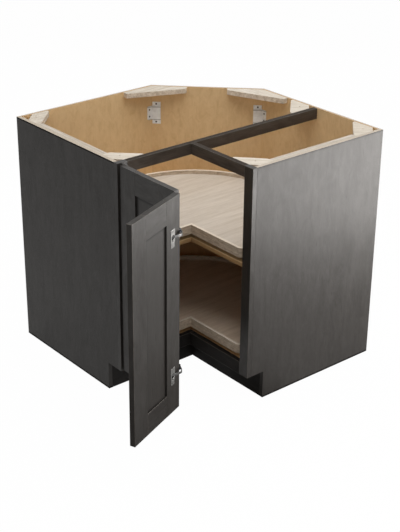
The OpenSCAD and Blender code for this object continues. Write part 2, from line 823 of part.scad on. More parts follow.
left_end_panel();
right_end_panel();
back_left_panel();
back_right_panel();
corner_back_panel();
cabinet_floor();
fixed_shelf();
left_top_cleat();
right_top_cleat();
back_left_block();
front_left_block();
back_right_block();
front_right_block();
rail_end_block();
left_wide_block();
right_wide_block();
left_stile();
right_stile();
long_top_rail();
right_top_rail();
left_bottom_rail();
right_bottom_rail();
left_toe_board();
right_toe_board();
left_bracket();
right_bracket();
bracket_screws();
upper_hinge_arm();
lower_hinge_arm();
hinge_arm_screws();
upper_bearing_base();
lower_bearing_base();
bearing_base_screws();
bearing_balls();
upper_tray_floor();
upper_tray_rim();
upper_bearing_top();
upper_tray_screws();
lower_tray_floor();
lower_tray_rim();
lower_bearing_top();
lower_tray_screws();
door_1_hinge_stile();
door_1_fold_stile();
door_1_top_rail();
door_1_bottom_rail();
door_1_panel();
upper_hinge_cup();
lower_hinge_cup();
upper_fold_arm();
lower_fold_arm();
door_1_screws();
door_2_fold_stile();
door_2_free_stile();
door_2_top_rail();
door_2_bottom_rail();
door_2_panel();
upper_fold_cup();
lower_fold_cup();
door_2_screws();
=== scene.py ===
# A corner base cabinet with two turning trays and a folding door: finishes, metalwork, light and camera.
from math import cos, pi, radians, sin, sqrt

import bmesh
import bpy
import numpy as np
from mathutils import Matrix, Vector


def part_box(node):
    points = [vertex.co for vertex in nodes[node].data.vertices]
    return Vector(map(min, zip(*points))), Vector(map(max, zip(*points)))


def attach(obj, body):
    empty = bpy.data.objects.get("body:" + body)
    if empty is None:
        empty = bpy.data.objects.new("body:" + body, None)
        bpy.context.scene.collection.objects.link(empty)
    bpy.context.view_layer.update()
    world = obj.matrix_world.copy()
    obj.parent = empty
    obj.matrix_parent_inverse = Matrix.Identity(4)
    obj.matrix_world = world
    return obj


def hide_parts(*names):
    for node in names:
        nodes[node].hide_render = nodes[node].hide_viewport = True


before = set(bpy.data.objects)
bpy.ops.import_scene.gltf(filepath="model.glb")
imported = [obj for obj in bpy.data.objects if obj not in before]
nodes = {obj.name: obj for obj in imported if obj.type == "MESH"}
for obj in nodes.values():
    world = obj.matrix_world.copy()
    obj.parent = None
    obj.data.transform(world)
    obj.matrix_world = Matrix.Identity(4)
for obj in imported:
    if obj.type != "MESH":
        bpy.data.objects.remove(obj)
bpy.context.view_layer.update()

scene = bpy.context.scene
scene.view_settings.view_transform = "Standard"


# short names for the shader nodes that the finishes, the floor and the room are made of
class Finish:
    def __init__(self, name, world=None):
        self.made = world or bpy.data.materials.new(name)
        self.made.use_nodes = True
        self.tree = self.made.node_tree
        self.tree.nodes.clear()

    def put(self, kind, inputs, out=0, **settings):
        node = self.tree.nodes.new("ShaderNode" + kind)
        for key, value in settings.items():
            setattr(node, key, value)
        for socket, value in inputs.items():
            if isinstance(value, bpy.types.NodeSocket):
                self.tree.links.new(value, node.inputs[socket])
            else:
                node.inputs[socket].default_value = value
        return node.outputs[out] if len(node.outputs) else None

    def place(self, along=(0, 0, 1), shift=(0, 0, 0)):
        # the cabinet's own metres, turned so that the grain's direction becomes z
        spot = self.put("TexCoord", {}, out="Object")
        turn = Vector(along).normalized().rotation_difference(Vector((0, 0, 1))).to_euler()
        return self.put("Mapping", {"Vector": spot, "Location": shift, "Rotation": turn})

    def axes(self, spot):
        node = self.tree.nodes.new("ShaderNodeSeparateXYZ")
        self.tree.links.new(spot, node.inputs[0])
        return node.outputs[0], node.outputs[1], node.outputs[2]

    def upward(self, low, high):  # 0 on standing faces, 1 on faces that look up
        return self.between(self.axes(self.put("NewGeometry", {}, out="Normal"))[2], low, high)

    def rays(self):
        return self.tree.nodes.new("ShaderNodeLightPath").outputs

    def sum(self, operation, a, b=0.0, c=0.0):
        return self.put("Math", {0: a, 1: b, 2: c}, operation=operation)

    def most(self, first, *others):
        for other in others:
            first = self.sum("MAXIMUM", first, other)
        return first

    def grainNoise(self, spot, across, along, detail=3.0, rough=0.55, bend=0.0):
        return self.stretchedNoise(spot, (across, across, along), detail, rough, bend)

    def stretchedNoise(self, spot, size, detail, rough, bend=0.0):
        shares = [1 / v for v in size]
        stretched = self.put("VectorMath", {0: spot, 1: shares}, operation="MULTIPLY")
        return self.put("TexNoise", {"Vector": stretched, "Scale": 1.0, "Detail": detail,
                                     "Roughness": rough, "Distortion": bend})

    def cloud(self, spot, size, detail=3.0, rough=0.55):
        return self.put("TexNoise", {"Vector": spot, "Scale": 1 / size, "Detail": detail, "Roughness": rough})

    def between(self, value, low, high, toLow=0.0, toHigh=1.0):
        return self.put("MapRange", {0: value, 1: low, 2: high, 3: toLow, 4: toHigh}, clamp=True)

    def tones(self, value, stops):
        ramp = self.tree.nodes.new("ShaderNodeValToRGB")
        self.tree.links.new(value, ramp.inputs[0])
        entries = ramp.color_ramp.elements
        while len(entries) < len(stops):
            entries.new(0.5)
        for entry, (at, colour) in zip(entries, stops):
            entry.position, entry.color = at, colour
        return ramp.outputs[0]

    def blend(self, amount, a, b, kind="MIX"):
        return self.put("Mix", {0: amount, 6: a, 7: b}, out=2, data_type="RGBA", blend_type=kind)

    def level(self, amount, a, b):
        return self.put("Mix", {0: amount, 2: a, 3: b}, data_type="FLOAT")

    def choose(self, amount, first, second):  # first where amount is 0, second where it is 1
        return {"colour": self.blend(amount, first["colour"], second["colour"]),
                "rough": self.level(amount, first["rough"], second["rough"]),
                "height": self.level(amount, first["height"], second["height"])}

    def close(self, body, depth, metal=0.0, gloss=0.5):
        # every finish ends here: one surface shader with its bump
        relief = self.put("Bump", {"Height": body["height"], "Distance": depth, "Strength": 1.0})
        surface = self.put("BsdfPrincipled", {"Base Color": body["colour"], "Roughness": body["rough"],
                                              "Normal": relief, "Metallic": metal,
                                              "Specular IOR Level": gloss})
        self.put("OutputMaterial", {"Surface": surface})
        return self.made


def tone(red, green, blue):  # a colour as it is seen on a screen, 0 to 255
    shares = [v / 255 for v in (red, green, blue)]
    return tuple(((v + 0.055) / 1.055) ** 2.4 if v > 0.04 else v / 12.92 for v in shares) + (1.0,)


white = tone(255, 255, 255)
noiseSpan = (0.30, 0.70)    # where most of a noise's values lie
cloudSpan = (0.36, 0.64)    # the same for the softer clouds

# one grain serves stained faces, veneer, trays and raw blocks, each with its own look; sizes are in metres
stainLook = {"light": tone(63, 60, 57), "mid": tone(56, 53, 50), "dark": tone(49, 45, 42),
             "band": (0.045, 0.60), "fibre": (0.0014, 0.07), "pore": (0.0007, 0.014),
             "fibreShade": 0.32, "streak": tone(150, 146, 140), "mottle": 0.45, "cloud": (0.030, 0.085),
             "rough": (0.27, 0.33), "depth": 0.00005, "matteTop": 0.15, "topShade": 0.0}
veneerLook = {"light": tone(225, 195, 149), "mid": tone(219, 188, 142), "dark": tone(208, 175, 129),
              "band": (0.070, 0.30), "fibre": (0.0026, 0.05), "pore": (0.0008, 0.012),
              "fibreShade": 0.08, "streak": tone(196, 170, 136), "mottle": 0.70, "cloud": (0.020, 0.036),
              "rough": (0.46, 0.60), "depth": 0.00015}
trayLook = {"light": tone(208, 199, 187), "mid": tone(198, 188, 175), "dark": tone(186, 174, 159),
            "band": (0.034, 0.60), "fibre": (0.0024, 0.10), "pore": (0.0008, 0.014),
            "fibreShade": 0.22, "streak": tone(172, 158, 142), "mottle": 0.25, "cloud": (0.014, 0.045),
            "rough": (0.42, 0.56), "depth": 0.00010, "matteTop": None}
rawLook = {"light": tone(220, 212, 199), "mid": tone(209, 199, 184), "dark": tone(190, 178, 161),
           "band": (0.012, 0.16), "fibre": (0.0012, 0.05), "pore": (0.0007, 0.010),
           "fibreShade": 0.30, "streak": tone(150, 140, 128), "mottle": 0.20, "cloud": (0.014, 0.045),
           "rough": (0.62, 0.78), "depth": 0.00025}
grainLook = {"figure": (0.32, 0.50, 0.68), "streak": (0.34, 0.60), "pits": (0.36, 0.46),
             "fibreRelief": 0.45, "pitRelief": 0.55}


def woodGrain(finish, spot, look):
    band = finish.grainNoise(spot, *look["band"], detail=2.5, bend=0.6)
    fibre = finish.grainNoise(spot, *look["fibre"], detail=4.0, rough=0.6, bend=0.2)
    pore = finish.grainNoise(spot, *look["pore"], detail=1.0)
    mottle = finish.grainNoise(spot, *look["cloud"], detail=4.0, rough=0.62, bend=0.9)
    figure = finish.level(look["mottle"], band, mottle)
    colour = finish.tones(figure, list(zip(grainLook["figure"], (look["dark"], look["mid"], look["light"]))))
    streak = finish.tones(fibre, list(zip(grainLook["streak"], (look["streak"], white))))
    colour = finish.blend(look["fibreShade"], colour, streak, "MULTIPLY")
    pits = finish.sum("MULTIPLY", finish.between(pore, *grainLook["pits"]), grainLook["pitRelief"])
    height = finish.sum("ADD", finish.sum("MULTIPLY", fibre, grainLook["fibreRelief"]), pits)
    smooth, coarse = look["rough"]
    roughness = finish.between(fibre, *noiseSpan, coarse, smooth)
    return {"colour": colour, "rough": roughness, "height": height, "mottle": mottle}


plyLook = {"face": tone(205, 196, 183), "core": tone(182, 169, 151), "glue": tone(146, 126, 106),
           "layer": 0.0026, "wander": 0.05, "sway": 0.35, "speck": 0.0016, "speckTone": tone(176, 160, 142),
           "speckSpan": (0.35, 0.62), "speckShade": 0.35, "rough": (0.82, 0.66)}
# the back sheets' edges have a pale outer half and a brown inner half
backEdge = {"bands": [(0.0, tone(150, 148, 145)), (0.10, tone(190, 188, 184)), (0.40, tone(206, 203, 198)),
                      (0.46, tone(168, 138, 102)), (1.0, tone(180, 148, 110))],
            "thick": 0.012, "speck": 0.0020, "rough": (0.82, 0.66)}
brownEdge = {"bands": [(0.0, tone(232, 202, 152)), (0.16, tone(224, 192, 142)), (0.24, tone(186, 150, 104)),
                       (0.80, tone(176, 140, 96)), (1.0, tone(120, 90, 60))],
             "thick": 0.017, "speck": 0.0020, "rough": (0.82, 0.66)}


def sheetEdge(finish, depth, spot, look):
    # a sheet's edge in broad bands or in lines of ply: depth is how far in from the sheet's face
    speck = finish.cloud(spot, look["speck"], detail=3.0, rough=0.7)
    rough = finish.between(speck, *noiseSpan, *look["rough"])
    if "bands" in look:
        colour = finish.tones(finish.sum("DIVIDE", depth, look["thick"]), look["bands"])
        return {"colour": colour, "rough": rough, "height": speck}
    wander = finish.cloud(spot, look["wander"], detail=2.0)
    sway, core = finish.sum("MULTIPLY", wander, look["sway"]), look["core"]
    part = finish.sum("PINGPONG", finish.sum("ADD", finish.sum("DIVIDE", depth, look["layer"]), sway), 1.0)
    lines = finish.tones(part, [(0.0, look["glue"]), (0.10, core), (0.62, look["face"]), (1.0, core)])
    specks = finish.tones(speck, list(zip(look["speckSpan"], (look["speckTone"], white))))
    colour = finish.blend(look["speckShade"], lines, specks, "MULTIPLY")
    return {"colour": colour, "rough": rough, "height": finish.sum("ADD", part, speck)}


sheen = {"least": 0.84, "most": 1.14, "upward": (0.6, 0.9), "paintedTopShadeTone": tone(22, 20, 18)}


def woodFinish(name, look, along=(0, 0, 1), gloss=0.5):
    finish = Finish(name)
    grain = woodGrain(finish, finish.place(along), look)
    shine = finish.between(grain["mottle"], *cloudSpan, gloss * sheen["least"], gloss * sheen["most"])
    if look["matteTop"]:
        upward = finish.upward(*sheen["upward"])
        shine = finish.level(upward, shine, gloss * look["matteTop"])
        # faces that look up are painted darker by topShade: painted shade on the tops
        shade = finish.sum("MULTIPLY", upward, look["topShade"])
        grain["colour"] = finish.blend(shade, grain["colour"], sheen["paintedTopShadeTone"])
    return finish.close(grain, look["depth"], gloss=shine)


alongX, alongY = (1, 0, 0), (0, 1, 0)
glossOf = {"stain": 0.45, "doorTwo": 0.272, "rail": 0.15, "toe": 0.18}
doorTwo = {"turn": radians(21.5), "foldEdge": (0.9044, 0.9126, 0.0)}    # it stands turned by the fold
doorTwoLine = Vector((cos(doorTwo["turn"]), sin(doorTwo["turn"]), 0.0))
stained = {
    "upright": woodFinish("stained upright", stainLook, gloss=glossOf["stain"]),
    "alongY": woodFinish("stained along y", stainLook, alongY, glossOf["stain"]),
    "doorTwo": woodFinish("stained upright of door two", stainLook, gloss=glossOf["doorTwo"]),
    "alongDoor": woodFinish("stained along door two", stainLook, doorTwoLine, glossOf["doorTwo"]),
}

toeLook = dict(stainLook, light=tone(42, 40, 38), mid=tone(36, 34, 32), dark=tone(30, 28, 26),
               rough=(0.50, 0.60))
railLook = dict(stainLook, light=tone(92, 83, 75), mid=tone(80, 71, 63), dark=tone(64, 57, 50),
                matteTop=0.1, topShade=0.5, fibreShade=0.45, rough=(0.48, 0.58))
# the bottom rails are the rail stain painted darker: painted shade low by the floor
lowRailShadeLook = dict(railLook, light=tone(44, 40, 37), mid=tone(36, 33, 31), dark=tone(29, 26, 24), topShade=0.0)
# the lighter edge finish: partly wear, partly a painted highlight along the arrises
wearAndHighlightLook = dict(stainLook, light=tone(112, 105, 98), mid=tone(88, 82, 76), dark=tone(62, 58, 54),
                rough=(0.30, 0.42))
railAlongX = woodFinish("rail stain along x", railLook, alongX, glossOf["rail"])
railAlongY = woodFinish("rail stain along y", railLook, alongY, glossOf["rail"])
lowRailAlongX = woodFinish("low rail stain with painted shade along x", lowRailShadeLook, alongX, glossOf["rail"])
lowRailAlongY = woodFinish("low rail stain with painted shade along y", lowRailShadeLook, alongY, glossOf["rail"])
toeAlongX = woodFinish("toe stain along x", toeLook, alongX, glossOf["toe"])
toeAlongY = woodFinish("toe stain along y", toeLook, alongY, glossOf["toe"])
stainedEdgeWearAndHighlight = woodFinish("stained edge worn and painted with highlight", wearAndHighlightLook, gloss=glossOf["stain"])

# the lower tray is the same ply as the upper, painted redder for the shade under the shelf
lowTrayShadeTintLook = dict(trayLook, light=tone(217, 198, 178), mid=tone(206, 187, 166), dark=tone(193, 173, 150))
trayFaces = {"upper": woodFinish("tray face", trayLook, alongX),
             "lower": woodFinish("low tray face tinted for shade", lowTrayShadeTintLook, alongX)}

foldStile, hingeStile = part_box("door_1_fold_stile"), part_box("door_1_hinge_stile")
doorLook = {"member": foldStile[1].y - foldStile[0].y, "wide": foldStile[1].y - hingeStile[0].y,
            "low": foldStile[0].z, "high": foldStile[1].z, "thin": (0.0010, 0.0040, 0.95),
            "soft": (0.0080, 0.0150, 0.7), "dark": tone(16, 15, 14), "rough": 0.6, "shift": (0.37, 0.11, 0)}


def doorPanelFinish(name, along, foldEdge, gloss):
    # a dark line is painted where panel and frame meet, the shade of the recess: along is the door's width,
    # from its fold edge
    finish = Finish(name)
    spot = finish.place()
    grain = woodGrain(finish, finish.place(shift=doorLook["shift"]), stainLook)
    across = finish.put("VectorMath", {0: spot, 1: along}, out=1, operation="DOT_PRODUCT")
    inFrom = finish.sum("SUBTRACT", across, Vector(foldEdge).dot(along))
    high = finish.axes(spot)[2]
    member = doorLook["member"]
    gaps = [(finish.sum("SUBTRACT", inFrom, member), "thin"),
            (finish.sum("SUBTRACT", doorLook["wide"] - member, inFrom), "soft"),
            (finish.sum("SUBTRACT", high, doorLook["low"] + member), "thin"),
            (finish.sum("SUBTRACT", doorLook["high"] - member, high), "soft")]
    paintedShade = finish.most(0.0, *[finish.between(gap, *doorLook[kind], 0.0) for gap, kind in gaps])
    grain["colour"] = finish.blend(paintedShade, grain["colour"], doorLook["dark"])
    grain["rough"] = finish.level(paintedShade, grain["rough"], doorLook["rough"])
    return finish.close(grain, stainLook["depth"], gloss=gloss)


doorOnePanel = doorPanelFinish("door one panel", Vector((0, -1, 0)), foldStile[1], glossOf["stain"])
doorTwoPanel = doorPanelFinish("door two panel", doorTwoLine, doorTwo["foldEdge"], glossOf["doorTwo"])

blockLook = {"speck": (0.0016, 0.0030), "patch": 0.012,
             "tones": [(0.34, tone(196, 180, 160)), (0.50, tone(218, 204, 186)), (0.68, tone(232, 221, 205))],
             "dots": [(0.34, tone(150, 130, 110)), (0.52, white)], "dotShade": 0.45, "rough": (0.86, 0.7),
             "upward": (0.35, 0.75), "gloss": 0.3}


def blockFinish(name, along, look=rawLook):
    # a sawn block: pale face above, speckled end fibres on its standing sides
    finish = Finish(name)
    spot = finish.place(along)
    top = woodGrain(finish, spot, look)
    speck = finish.grainNoise(finish.place(), *blockLook["speck"], detail=3.0, rough=0.75)
    colour = finish.tones(finish.cloud(spot, blockLook["patch"], detail=3.0), blockLook["tones"])
    colour = finish.blend(blockLook["dotShade"], colour, finish.tones(speck, blockLook["dots"]), "MULTIPLY")
    rough = finish.between(speck, *noiseSpan, *blockLook["rough"])
    side = {"colour": colour, "rough": rough, "height": speck}
    body = finish.choose(finish.upward(*blockLook["upward"]), side, top)
    return finish.close(body, look["depth"], gloss=blockLook["gloss"])


cleatLook = dict(rawLook, light=tone(208, 199, 187), mid=tone(194, 184, 170), dark=tone(170, 158, 142),
                 band=(0.005, 0.30), fibreShade=0.40)
rawAlongX = blockFinish("raw block", alongX)
rawAlongY = blockFinish("raw block other wall", alongY)
rawCorner = blockFinish("raw block corner", (1, -1, 0))
cleatAlongX = blockFinish("raw cleat along x", alongX, cleatLook)
cleatAlongY = blockFinish("raw cleat along y", alongY, cleatLook)

shadeTintUnderShelf = {"below": 0.510, "soft": 0.004, "tone": tone(255, 240, 226)}


def insideVeneer(finish, spot, height):
    # the veneer, with painted shade under the fixed shelf: redder and a little darker there
    grain = woodGrain(finish, spot, veneerLook)
    shelf, soft = shadeTintUnderShelf["below"], shadeTintUnderShelf["soft"]
    under = finish.between(height, shelf - soft, shelf + soft, 1.0, 0.0)
    grain["colour"] = finish.blend(under, grain["colour"], shadeTintUnderShelf["tone"], "MULTIPLY")
    return grain


backLook = dict(veneerLook, light=tone(204, 180, 148), mid=tone(194, 168, 134), dark=tone(182, 155, 121),
                rough=(0.6, 0.74), fibreShade=0.14, mottle=0.45, cloud=(0.012, 0.060))
panelLook = {"skin": 0.0007, "topSkin": 0.0004, "toeLap": 0.002, "frontSkin": 0.0008, "foot": (0.0030, 0.0100),
             "crown": (0.0070, 0.0030), "endTone": tone(18, 16, 15), "endRough": 0.7, "cornerGloss": 0.4}
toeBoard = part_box("left_toe_board")[1]


def panelFinish(name, node, axis, outer, edgeLook, endPanel=False, darkEnds=(0.0, 0.0), gloss=(0.365, 0.43)):
    # a sheet that stands on edge: outside its own finish, inside the veneer, and on top the edge's layers
    finish = Finish(name)
    spot = finish.place()
    low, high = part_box(node)
    across, forward, height = finish.axes(spot)[axis], finish.axes(spot)[1 - axis], finish.axes(spot)[2]
    inner = insideVeneer(finish, spot, height)
    outside = woodGrain(finish, spot, outer)
    if endPanel:
        depth = finish.sum("SUBTRACT", high[axis], across)
    else:
        depth = finish.sum("SUBTRACT", across, low[axis])
    edge = sheetEdge(finish, depth, spot, edgeLook)
    outward = finish.sum("LESS_THAN", depth, panelLook["skin"])
    if endPanel:
        # the front edge, and the strip beside the toe space, are stained like the outside
        ahead = finish.sum("GREATER_THAN", forward, toeBoard.y - panelLook["toeLap"])
        lowStrip = finish.sum("MULTIPLY", ahead, finish.sum("LESS_THAN", height, toeBoard.z))
        atEdge = finish.sum("GREATER_THAN", forward, high[1 - axis] - panelLook["frontSkin"])
        outward = finish.most(outward, lowStrip, atEdge)
    # the outer finish is painted darker at the foot, a painted contact shadow, and in a dark line just below
    # the top edge
    foot, crown = darkEnds
    ends = finish.most(finish.between(height, *panelLook["foot"], foot, 0.0),
                       finish.between(height, *[high.z - gap for gap in panelLook["crown"]], 0.0, crown))
    outside["colour"] = finish.blend(ends, outside["colour"], panelLook["endTone"])
    outside["rough"] = finish.level(ends, outside["rough"], panelLook["endRough"])
    shine = finish.level(ends, finish.between(outside["mottle"], *cloudSpan, *gloss), 0.0)
    onTop = finish.sum("GREATER_THAN", height, high.z - panelLook["topSkin"])
    body = finish.choose(onTop, inner, edge)
    body = finish.choose(outward, body, outside)
    return finish.close(body, veneerLook["depth"], gloss=shine)


def cornerBackFinish(name, node):
    # the sheet across the corner: its outer face is the plane through the back sheets' ends
    finish = Finish(name)
    spot = finish.place()
    x, y, height = finish.axes(spot)
    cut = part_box("back_left_panel")[0].x
    depth = finish.sum("MULTIPLY", finish.sum("SUBTRACT", finish.sum("ADD", x, y), cut), sqrt(0.5))
    inner = insideVeneer(finish, spot, height)
    outside = woodGrain(finish, spot, backLook)
    edge = sheetEdge(finish, depth, spot, backEdge)
    onTop = finish.sum("GREATER_THAN", height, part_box(node)[1].z - panelLook["topSkin"])
    body = finish.choose(onTop, inner, edge)
    body = finish.choose(finish.sum("LESS_THAN", depth, panelLook["skin"]), body, outside)
    return finish.close(body, veneerLook["depth"], gloss=panelLook["cornerGloss"])


panelFinishes = {
    "left_end_panel": panelFinish("left end", "left_end_panel", 0, stainLook, plyLook, endPanel=True,
                                  darkEnds=(0.9, 0.9), gloss=(0.335, 0.395)),
    "right_end_panel": panelFinish("right end", "right_end_panel", 1, stainLook, plyLook, endPanel=True,
                                   darkEnds=(0.9, 0.2)),
    "back_left_panel": panelFinish("back left", "back_left_panel", 1, backLook, backEdge),
    "back_right_panel": panelFinish("back right", "back_right_panel", 0, backLook, backEdge),
    "corner_back_panel": cornerBackFinish("corner back", "corner_back_panel"),
}

deckLook = {"skin": 0.0006, "depth": 0.00012, "gloss": 0.45}


def deckFinish(name, node):
    # a sheet that lies flat: veneer above and below, brown bands on its edges
    finish = Finish(name)
    spot = finish.place(alongX)
    height = finish.axes(finish.place())[2]
    low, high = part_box(node)
    face = insideVeneer(finish, spot, height)
    edge = sheetEdge(finish, finish.sum("SUBTRACT", high.z, height), spot, brownEdge)
    inside = finish.sum("MULTIPLY", finish.sum("GREATER_THAN", height, low.z + deckLook["skin"]),
                        finish.sum("LESS_THAN", height, high.z - deckLook["skin"]))
    return finish.close(finish.choose(inside, face, edge), deckLook["depth"], gloss=deckLook["gloss"])


shelfFinish = deckFinish("fixed shelf", "fixed_shelf")
floorFinish = deckFinish("cabinet floor", "cabinet_floor")

rimLook = {"cutBehindFrame": 0.013, "fibre": (0.07, 0.07, 0.0024), "blotch": (0.022, 0.022, 0.008),
           "tones": [(0.30, tone(176, 158, 138)), (0.50, tone(206, 188, 166)), (0.68, tone(222, 208, 188))],
           "streak": [(0.36, tone(146, 132, 118)), (0.60, white)], "streakShade": 0.40, "rough": (0.6, 0.46),
           "topSkin": 0.0005, "depth": 0.00015, "gloss": 0.45}
rimEdge = dict(plyLook, face=tone(238, 230, 216), core=tone(222, 210, 192), glue=tone(174, 154, 132),
               layer=0.0025)


def rimFinish(name, node):
    # bent ply: the grain runs round the wall, and its top edge shows the layers
    finish = Finish(name)
    spot = finish.place()
    x, y, z = finish.axes(spot)
    low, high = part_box(node)
    centre, pieCut = (low + high) / 2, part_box("left_stile")[1].y - rimLook["cutBehindFrame"]
    aside, ahead = finish.sum("SUBTRACT", x, centre.x), finish.sum("SUBTRACT", y, centre.y)
    flat = finish.put("CombineXYZ", {0: aside, 1: ahead, 2: 0.0})
    radius = finish.put("VectorMath", {0: flat}, out=1, operation="LENGTH")
    fromArc = finish.sum("SUBTRACT", high.x - centre.x, radius)
    fromCut = finish.most(finish.sum("SUBTRACT", pieCut, x), finish.sum("SUBTRACT", pieCut, y))
    depth = finish.sum("MINIMUM", fromArc, fromCut)
    fibre = finish.stretchedNoise(spot, rimLook["fibre"], 4.0, 0.6)
    blotch = finish.stretchedNoise(spot, rimLook["blotch"], 4.0, 0.65, 0.5)
    colour = finish.tones(blotch, rimLook["tones"])
    colour = finish.blend(rimLook["streakShade"], colour, finish.tones(fibre, rimLook["streak"]), "MULTIPLY")
    wall = {"colour": colour, "rough": finish.between(fibre, *noiseSpan, *rimLook["rough"]), "height": fibre}
    edge = sheetEdge(finish, depth, spot, rimEdge)
    body = finish.choose(finish.sum("GREATER_THAN", z, high.z - rimLook["topSkin"]), wall, edge)
    return finish.close(body, rimLook["depth"], gloss=rimLook["gloss"])


metalLook = {"line": (0.0004, 0.02), "cells": 260.0, "cellTone": tone(170, 172, 176), "patch": 0.012,
             "patchShade": 0.82, "rougher": 0.09, "smoother": 0.05, "patchRelief": 0.5, "depth": 0.00003,
             "fold": (0.0008, 0.0022), "foldShade": 0.6, "foldShadeTone": tone(70, 66, 64)}


def metalFinish(name, colour, roughness, brush=0.0, spangle=0.0, metal=1.0, folds=()):
    finish = Finish(name)
    spot = finish.place()
    lines = finish.grainNoise(spot, *metalLook["line"], detail=3.0)
    cells = finish.put("TexVoronoi", {"Vector": spot, "Scale": metalLook["cells"]})
    patches = finish.cloud(spot, metalLook["patch"], detail=4.0)
    dim = tuple(metalLook["patchShade"] * v for v in colour[:3]) + (1.0,)
    shade = finish.tones(patches, list(zip(noiseSpan, (dim, colour))))
    flakes = finish.tones(cells, [(0.0, metalLook["cellTone"]), (1.0, white)])
    shade = finish.blend(spangle, shade, flakes, "MULTIPLY")
    for height in folds:   # painted shade where the sheet is folded
        away = finish.sum("ABSOLUTE", finish.sum("SUBTRACT", finish.axes(spot)[2], height))
        paintedShade = finish.between(away, *metalLook["fold"], metalLook["foldShade"], 0.0)
        shade = finish.blend(paintedShade, shade, metalLook["foldShadeTone"])
    mixed = finish.sum("ADD", finish.sum("MULTIPLY", lines, brush), finish.sum("MULTIPLY", patches, 1 - brush))
    coarse, smooth = roughness + metalLook["rougher"], roughness - metalLook["smoother"]
    rough = finish.between(mixed, *noiseSpan, coarse, smooth)
    height = finish.sum("ADD", lines, finish.sum("MULTIPLY", patches, metalLook["patchRelief"]))
    return finish.close({"colour": shade, "rough": rough, "height": height}, metalLook["depth"], metal=metal)


zincFinish = metalFinish("zinc steel", tone(198, 197, 196), 0.45, brush=0.4, spangle=0.3, metal=0.35)
# the bracket's folds are painted with shade
bracketFinish = metalFinish("pale zinc bracket", tone(246, 251, 255), 0.5, brush=0.4, spangle=0.04, metal=0.0,
                            folds=(0.7425, 0.7930))
bracketEdge = metalFinish("bracket edge", tone(150, 148, 148), 0.45, brush=0.3, metal=0.3)
blackScrew = metalFinish("blackened screw", tone(52, 49, 48), 0.42, brush=0.3, metal=0.5)
nickelFinish = metalFinish("nickel plate", tone(149, 149, 147), 0.28, brush=0.2, metal=0.56)
armNickel = metalFinish("nickel of the strap", tone(116, 116, 116), 0.26, brush=0.2, metal=0.8)
# the hinges' bevels are painted near white: a painted highlight
nickelHighlightEdge = metalFinish("nickel edge painted as highlight", tone(236, 235, 231), 0.20, brush=0.2, metal=0.8)
# dark nickel for the arm behind door 1 and the cup's inside: painted shade and a painted dark reflection
shadedNickel = metalFinish("nickel of the arm", tone(58, 60, 66), 0.20, brush=0.2)
print("finishes made:", len(bpy.data.materials))

# widths of the softened edges, in metres
softEdge = {"member": 0.0009, "doorPanel": 0.0006, "panel": 0.0005, "deck": 0.0006, "block": 0.0008,
            "rim": 0.0014, "steel": 0.0003, "bracket": 0.0004, "ball": 0.0002, "screw": 0.0001}
edgeLook = {"join": 0.000005, "flat": radians(0.4), "sharp": radians(28)}


def softenEdges(piece, width, steps=2, edgeSlot=-1):
    for name in [a.name for a in piece.data.attributes if a.name == "custom_normal"]:
        piece.data.attributes.remove(piece.data.attributes[name])
    piece.data.shade_smooth()
    joined = piece.modifiers.new("joined corners", "WELD")
    joined.merge_threshold = edgeLook["join"]
    flat = piece.modifiers.new("flat faces", "DECIMATE")
    flat.decimate_type, flat.angle_limit = "DISSOLVE", edgeLook["flat"]
    edge = piece.modifiers.new("soft edge", "BEVEL")
    edge.width, edge.segments, edge.limit_method, edge.angle_limit = width, steps, "ANGLE", edgeLook["sharp"]
    edge.harden_normals, edge.material = True, edgeSlot


def dress(name, finish, width, edgeFinish=None, steps=2):
    piece = nodes[name]
    piece.data.materials.clear()
    piece.data.materials.append(finish)
    if edgeFinish:
        piece.data.materials.append(edgeFinish)
    softenEdges(piece, width, steps, 1 if edgeFinish else -1)


for finish, names in [
        (stained["upright"], ["left_stile", "right_stile", "door_1_hinge_stile", "door_1_fold_stile"]),
        (stained["doorTwo"], ["door_2_fold_stile", "door_2_free_stile"]),
        (stained["alongY"], ["door_1_top_rail", "door_1_bottom_rail"]),
        (stained["alongDoor"], ["door_2_top_rail", "door_2_bottom_rail"]),
        (railAlongX, ["long_top_rail"]), (railAlongY, ["right_top_rail"]),
        (lowRailAlongX, ["left_bottom_rail"]), (lowRailAlongY, ["right_bottom_rail"])]:
    for name in names:
        dress(name, finish, softEdge["member"], stainedEdgeWearAndHighlight)
dress("left_toe_board", toeAlongX, softEdge["member"])
dress("right_toe_board", toeAlongY, softEdge["member"])
dress("door_1_panel", doorOnePanel, softEdge["doorPanel"])
dress("door_2_panel", doorTwoPanel, softEdge["doorPanel"])
for name, finish in panelFinishes.items():
    dress(name, finish, softEdge["panel"])
dress("fixed_shelf", shelfFinish, softEdge["deck"])
dress("cabinet_floor", floorFinish, softEdge["deck"])
for finish, names in [
        (rawAlongX, ["left_wide_block", "back_left_block"]), (rawAlongY, ["right_wide_block"]),
        (rawCorner, ["front_left_block", "back_right_block", "front_right_block", "rail_end_block"]),
        (cleatAlongY, ["left_top_cleat"]), (cleatAlongX, ["right_top_cleat"])]:
    for name in names:
        dress(name, finish, softEdge["block"])
for level in ("upper", "lower"):
    dress(level + "_tray_floor", trayFaces[level], softEdge["deck"])
    dress(level + "_tray_rim", rimFinish(level + " rim", level + "_tray_rim"), softEdge["rim"], steps=3)
    for part in ("_bearing_base", "_bearing_top"):
        dress(level + part, zincFinish, softEdge["steel"])
    for part in ("_hinge_arm", "_hinge_cup"):
        dress(level + part, nickelFinish, softEdge["steel"], nickelHighlightEdge)
for name in ("left_bracket", "right_bracket"):
    dress(name, bracketFinish, softEdge["bracket"], bracketEdge)
dress("bearing_balls", zincFinish, softEdge["ball"], steps=1)
print("frame pieces dressed:", len(nodes))


# small metalwork is built from outlines, bent strips and turned shapes
samePoint = 1e-6    # metres between two points that count as one


